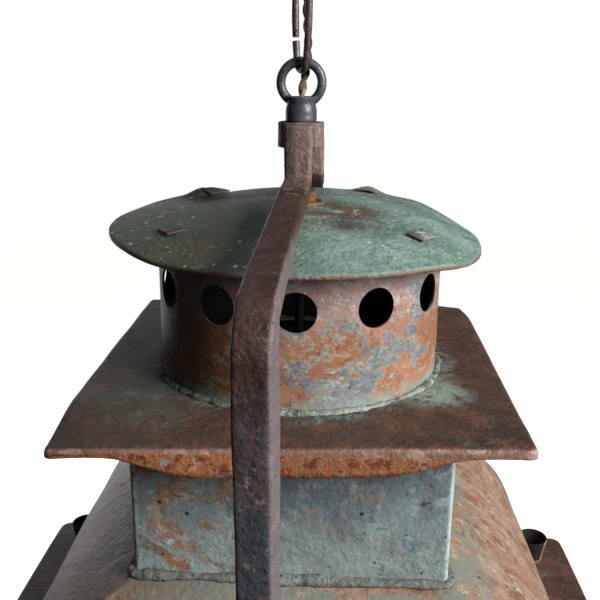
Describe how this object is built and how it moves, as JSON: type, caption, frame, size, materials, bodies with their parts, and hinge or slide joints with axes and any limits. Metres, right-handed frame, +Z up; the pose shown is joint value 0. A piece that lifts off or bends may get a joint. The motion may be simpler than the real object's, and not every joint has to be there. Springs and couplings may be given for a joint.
{
  "type": "hanging lantern",
  "caption": "Large square copper lantern with a domed vent cap, bombe roof and glazed body with a hinged door, hung by an iron yoke from a chain link and ceiling hook.",
  "frame": {"origin": "centre of the ceiling plate's top face, where it is screwed to a ceiling", "axes": "+Z up, the glazed door faces -Y, +X to the right of a person who faces the door"},
  "size_m": [0.648, 0.648, 1.132],
  "materials": {
    "forged_iron": "matte",
    "chain_iron": "satin",
    "black_casting": "satin",
    "flex_braid": "matte",
    "rubber": "matte",
    "verdigris_copper": "matte",
    "brass": "satin",
    "mottled_copper": "matte",
    "solder": "matte",
    "dark_bronze": "matte",
    "slate_paint": "matte",
    "aged_copper": "matte",
    "body_copper": "matte",
    "pane_glass": "gloss",
    "porcelain": "gloss",
    "bulb_glass": "gloss"
  },
  "bodies": {
    "ceiling": {"ceiling_plate": "chain_iron", "ceiling_hook": "chain_iron", "hook_nut": "chain_iron", "flex_bush": "rubber", "flex_upper": "flex_braid"},
    "link": {"chain_link": "chain_iron", "flex_binding": "flex_braid", "flex_lower": "flex_braid"},
    "door": {"door_frame": "body_copper", "glass_door": "pane_glass", "hinge_leaves_door": "brass", "door_knob": "brass"},
    "button": {"turn_button": "brass"},
    "lantern": {"base_plate": "body_copper", "bottom_rail": "body_copper", "brim_plate": "dark_bronze", "bulb_base": "brass", "bulb_glass": "bulb_glass", "button_screw": "brass", "cap_dome": "verdigris_copper", "cap_tabs": "verdigris_copper", "corner_cups": "aged_copper", "corner_posts": "body_copper", "drum_solder": "solder", "flex_inner": "flex_braid", "foot_bolt_heads": "forged_iron", "foot_bolt_shanks": "forged_iron", "foot_nuts": "forged_iron", "foot_washers": "forged_iron", "gland_nut": "brass", "gland_washer": "brass", "glass_back": "pane_glass", "glass_left": "pane_glass", "glass_right": "pane_glass", "glazing_clips": "body_copper", "hanging_loop": "black_casting", "hinge_leaves_post": "brass", "hinge_pins": "brass", "holder_bracket": "body_copper", "holder_stem": "brass", "hollow_nipple": "black_casting", "lamp_holder": "porcelain", "lock_nut": "black_casting", "neck_box": "slate_paint", "neck_solder": "solder", "roof_shell": "aged_copper", "stem_nut": "brass", "top_rail": "body_copper", "upper_deck": "dark_bronze", "vent_drum": "mottled_copper", "yoke_arm_back": "forged_iron", "yoke_arm_front": "forged_iron", "yoke_boss": "forged_iron"}
  },
  "joints": [
    {"name": "link_swing", "type": "hinge", "parent": "ceiling", "child": "link", "pos_m": [0, 0, -0.0561], "axis": [0.8988, 0.4384, 0], "range_deg": [-25, 25], "deforming": ["flex_upper"]},
    {"name": "lantern_swing", "type": "hinge", "parent": "link", "child": "lantern", "pos_m": [0, 0, -0.1388], "axis": [0.4384, -0.8988, 0], "range_deg": [-25, 25], "deforming": ["flex_lower"]},
    {"name": "door_hinge", "type": "hinge", "parent": "lantern", "child": "door", "pos_m": [-0.193, -0.2205, -0.927], "axis": [0, 0, -1], "range_deg": [0, 110]},
    {"name": "button_turn", "type": "hinge", "parent": "lantern", "child": "button", "pos_m": [0.204, -0.2165, -0.877], "axis": [0, 1, 0], "range_deg": [0, 90]}
  ]
}
